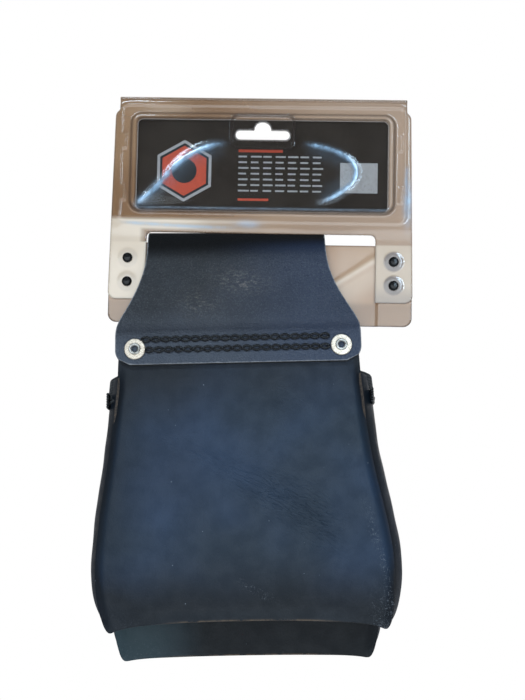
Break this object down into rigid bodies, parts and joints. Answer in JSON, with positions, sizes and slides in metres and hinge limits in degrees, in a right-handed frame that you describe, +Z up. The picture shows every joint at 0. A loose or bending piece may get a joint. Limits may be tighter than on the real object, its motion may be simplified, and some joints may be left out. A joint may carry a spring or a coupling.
{
  "type": "electrician tool pouch",
  "caption": "Black leather electrician's tool pouch: folded belt loop, deep main bag, lower stepped front bag with patch pocket and tool loops, on its clear retail hanger",
  "frame": {"origin": "centre of the tunnel that the belt runs through, between the two legs of the belt loop", "axes": "+Z up, -Y towards the wearer, +X along the belt to the right of someone who looks at the wearer's side; +Y is the front with the bags"},
  "size_m": [0.1917, 0.1186, 0.3323],
  "materials": {
    "harness_leather": "firm black harness leather, fine pebble grain, worn pale along the cut edges",
    "bag_leather": "smooth soft blue-black leather, creased and lightly scuffed, raw brown cut edges",
    "binding": "woven binding tape",
    "rivet_metal": "nickel plated",
    "thread": "waxed thick thread",
    "clear_sheet": "glossy thermoformed sheet with a smoky tan cast",
    "printed_card": "printed, satin",
    "stud_plastic": "moulded black"
  },
  "bodies": {
    "pouch": {"belt_loop": "harness_leather", "tool_loop_strip": "harness_leather", "rear_panel": "bag_leather", "main_bag_shell": "bag_leather", "front_bag_back": "bag_leather", "front_bag_shell": "bag_leather", "patch_pocket": "bag_leather", "main_mouth_band": "binding", "front_mouth_band": "binding", "belt_rivet_left": "rivet_metal", "belt_rivet_right": "rivet_metal", "belt_washer_left": "rivet_metal", "belt_washer_right": "rivet_metal", "front_bag_rivets": "rivet_metal", "tool_strip_rivets": "rivet_metal", "seam_tack_left": "thread", "seam_tack_right": "thread"},
    "hanger": {"hanger_shell": "clear_sheet", "hanger_strap": "clear_sheet", "print_card": "printed_card"},
    "stud_upper_left_body": {"stud_upper_left": "stud_plastic"},
    "stud_lower_left_body": {"stud_lower_left": "stud_plastic"},
    "stud_upper_right_body": {"stud_upper_right": "stud_plastic"},
    "stud_lower_right_body": {"stud_lower_right": "stud_plastic"}
  },
  "joints": [
    {"name": "hanger_slide", "type": "slide", "parent": "pouch", "child": "hanger", "axis": [0.9991, 0, -0.0419], "range_m": [-0.0265, 0]},
    {"name": "stud_upper_left_pull", "type": "slide", "parent": "hanger", "child": "stud_upper_left_body", "axis": [-0.0047, -0.9936, -0.1131], "range_m": [0, 0.006]},
    {"name": "stud_lower_left_pull", "type": "slide", "parent": "hanger", "child": "stud_lower_left_body", "axis": [-0.0047, -0.9936, -0.1131], "range_m": [0, 0.006]},
    {"name": "stud_upper_right_pull", "type": "slide", "parent": "hanger", "child": "stud_upper_right_body", "axis": [-0.0047, -0.9936, -0.1131], "range_m": [0, 0.006]},
    {"name": "stud_lower_right_pull", "type": "slide", "parent": "hanger", "child": "stud_lower_right_body", "axis": [-0.0047, -0.9936, -0.1131], "range_m": [0, 0.006]}
  ]
}
